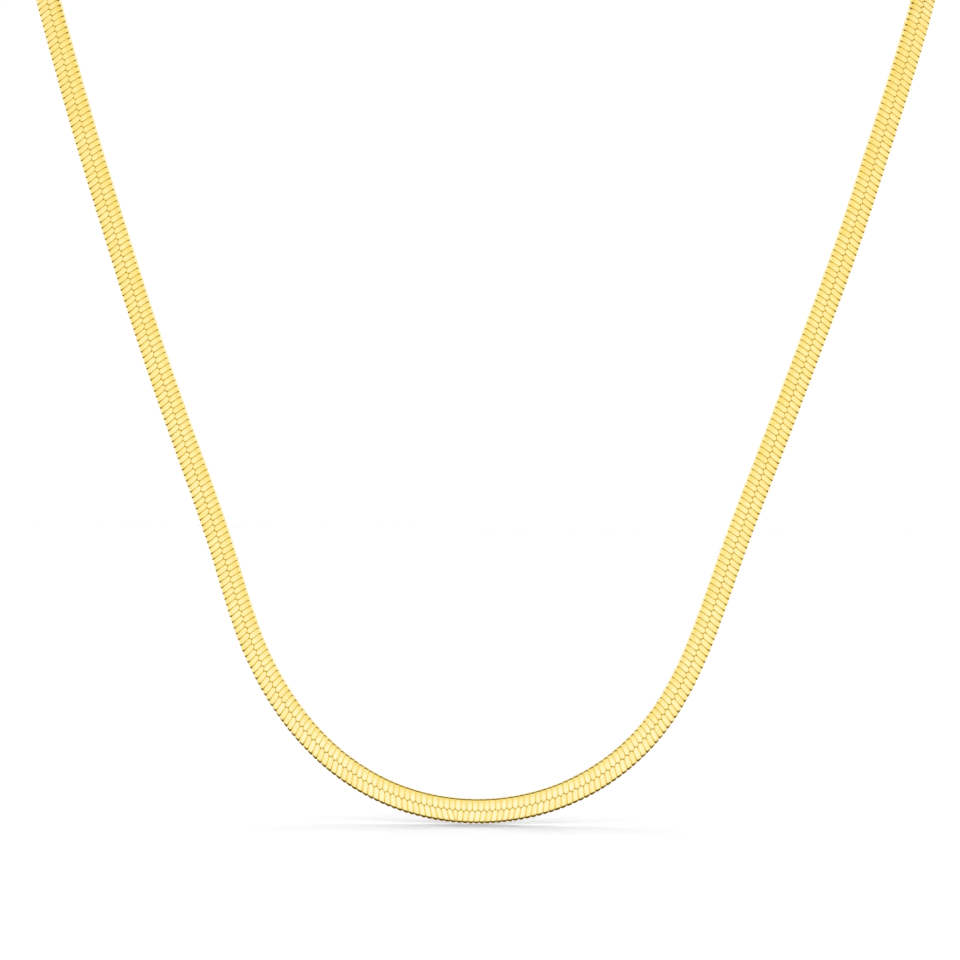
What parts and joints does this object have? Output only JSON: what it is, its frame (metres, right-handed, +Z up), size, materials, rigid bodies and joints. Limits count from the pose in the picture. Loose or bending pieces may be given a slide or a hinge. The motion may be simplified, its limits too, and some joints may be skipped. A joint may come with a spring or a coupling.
{
  "type": "flat snake chain necklace",
  "caption": "Closed flat chain necklace that hangs in a long U, with sleeved ends, jump rings and a plain claw clasp at the nape.",
  "frame": {"origin": "middle of the closed clasp, which sits at the nape", "axes": "+Z up, -Y to the front where the chain hangs, +X to the right seen from the front"},
  "size_m": [0.118, 0.0748, 0.1402],
  "materials": {
    "chain_gold": "polished gold plate over close-set links",
    "fitting_gold": "polished gold plate"
  },
  "bodies": {
    "root": {"chain": "chain_gold", "end_cap_left": "fitting_gold", "end_cap_right": "fitting_gold", "jump_ring_left": "fitting_gold", "jump_ring_right": "fitting_gold", "clasp": "fitting_gold"}
  },
  "joints": []
}
